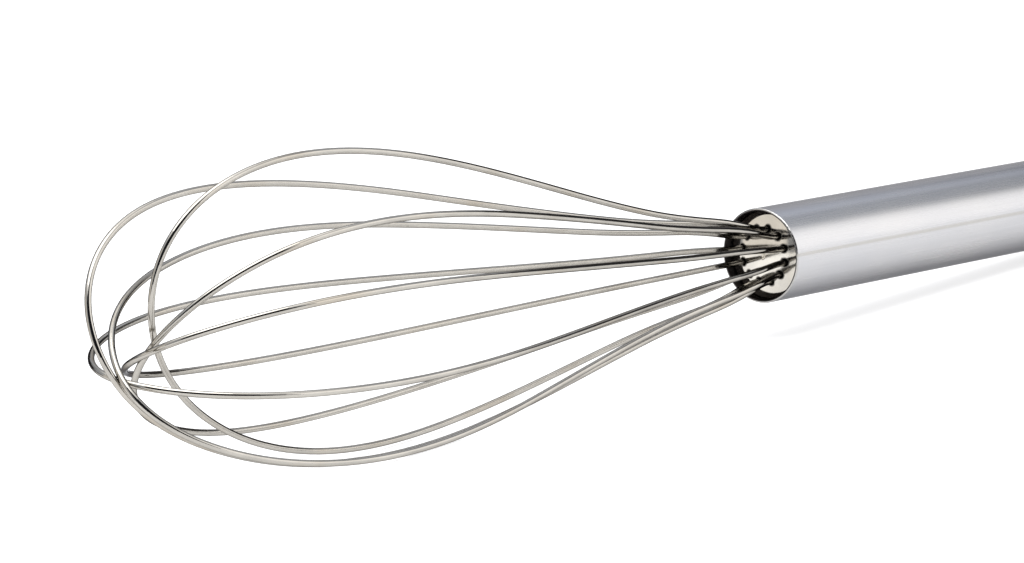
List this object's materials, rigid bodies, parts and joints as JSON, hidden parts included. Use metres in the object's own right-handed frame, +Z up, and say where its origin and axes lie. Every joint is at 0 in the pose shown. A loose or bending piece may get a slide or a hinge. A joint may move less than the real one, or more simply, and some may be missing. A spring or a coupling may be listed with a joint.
{
  "type": "balloon whisk",
  "caption": "Balloon whisk with a slim brushed tube handle, nested teardrop wire loops set in a recessed plate, and a swinging hanging ring.",
  "frame": {"origin": "centre of the bounding box's base: the surface that the whisk lies on", "axes": "+X along the whisk from the balloon to the hanging ring, +Z up, the whisk lying at rest with its axis falling slightly towards the ring"},
  "size_m": [0.3146, 0.0494, 0.0577],
  "materials": {
    "handle_tube": "satin, brushed along the handle",
    "wire_plate": "polished, slightly warm",
    "potting_plug": "cast sealing compound",
    "fill_dam": "pressed fibre",
    "end_cap": "satin",
    "eye_stud": "polished",
    "eye_washer": "plain",
    "loop_wire": "bright drawn wire",
    "hang_ring": "bright drawn wire"
  },
  "bodies": {
    "whisk": {"handle_tube": "handle_tube", "wire_plate": "wire_plate", "potting_plug": "potting_plug", "fill_dam": "fill_dam", "end_cap": "end_cap", "eye_stud": "eye_stud", "eye_washer": "eye_washer", "wire_loop_1": "loop_wire", "wire_loop_2": "loop_wire", "wire_loop_3": "loop_wire", "wire_loop_4": "loop_wire", "wire_loop_5": "loop_wire", "wire_loop_6": "loop_wire"},
    "ring": {"hang_ring": "hang_ring"}
  },
  "joints": [
    {"name": "ring_swing", "type": "hinge", "parent": "whisk", "child": "ring", "pos_m": [0.14395, -0.00003, 0.00896], "axis": [0, 1, 0], "range_deg": [-161.6, 102.4]}
  ]
}
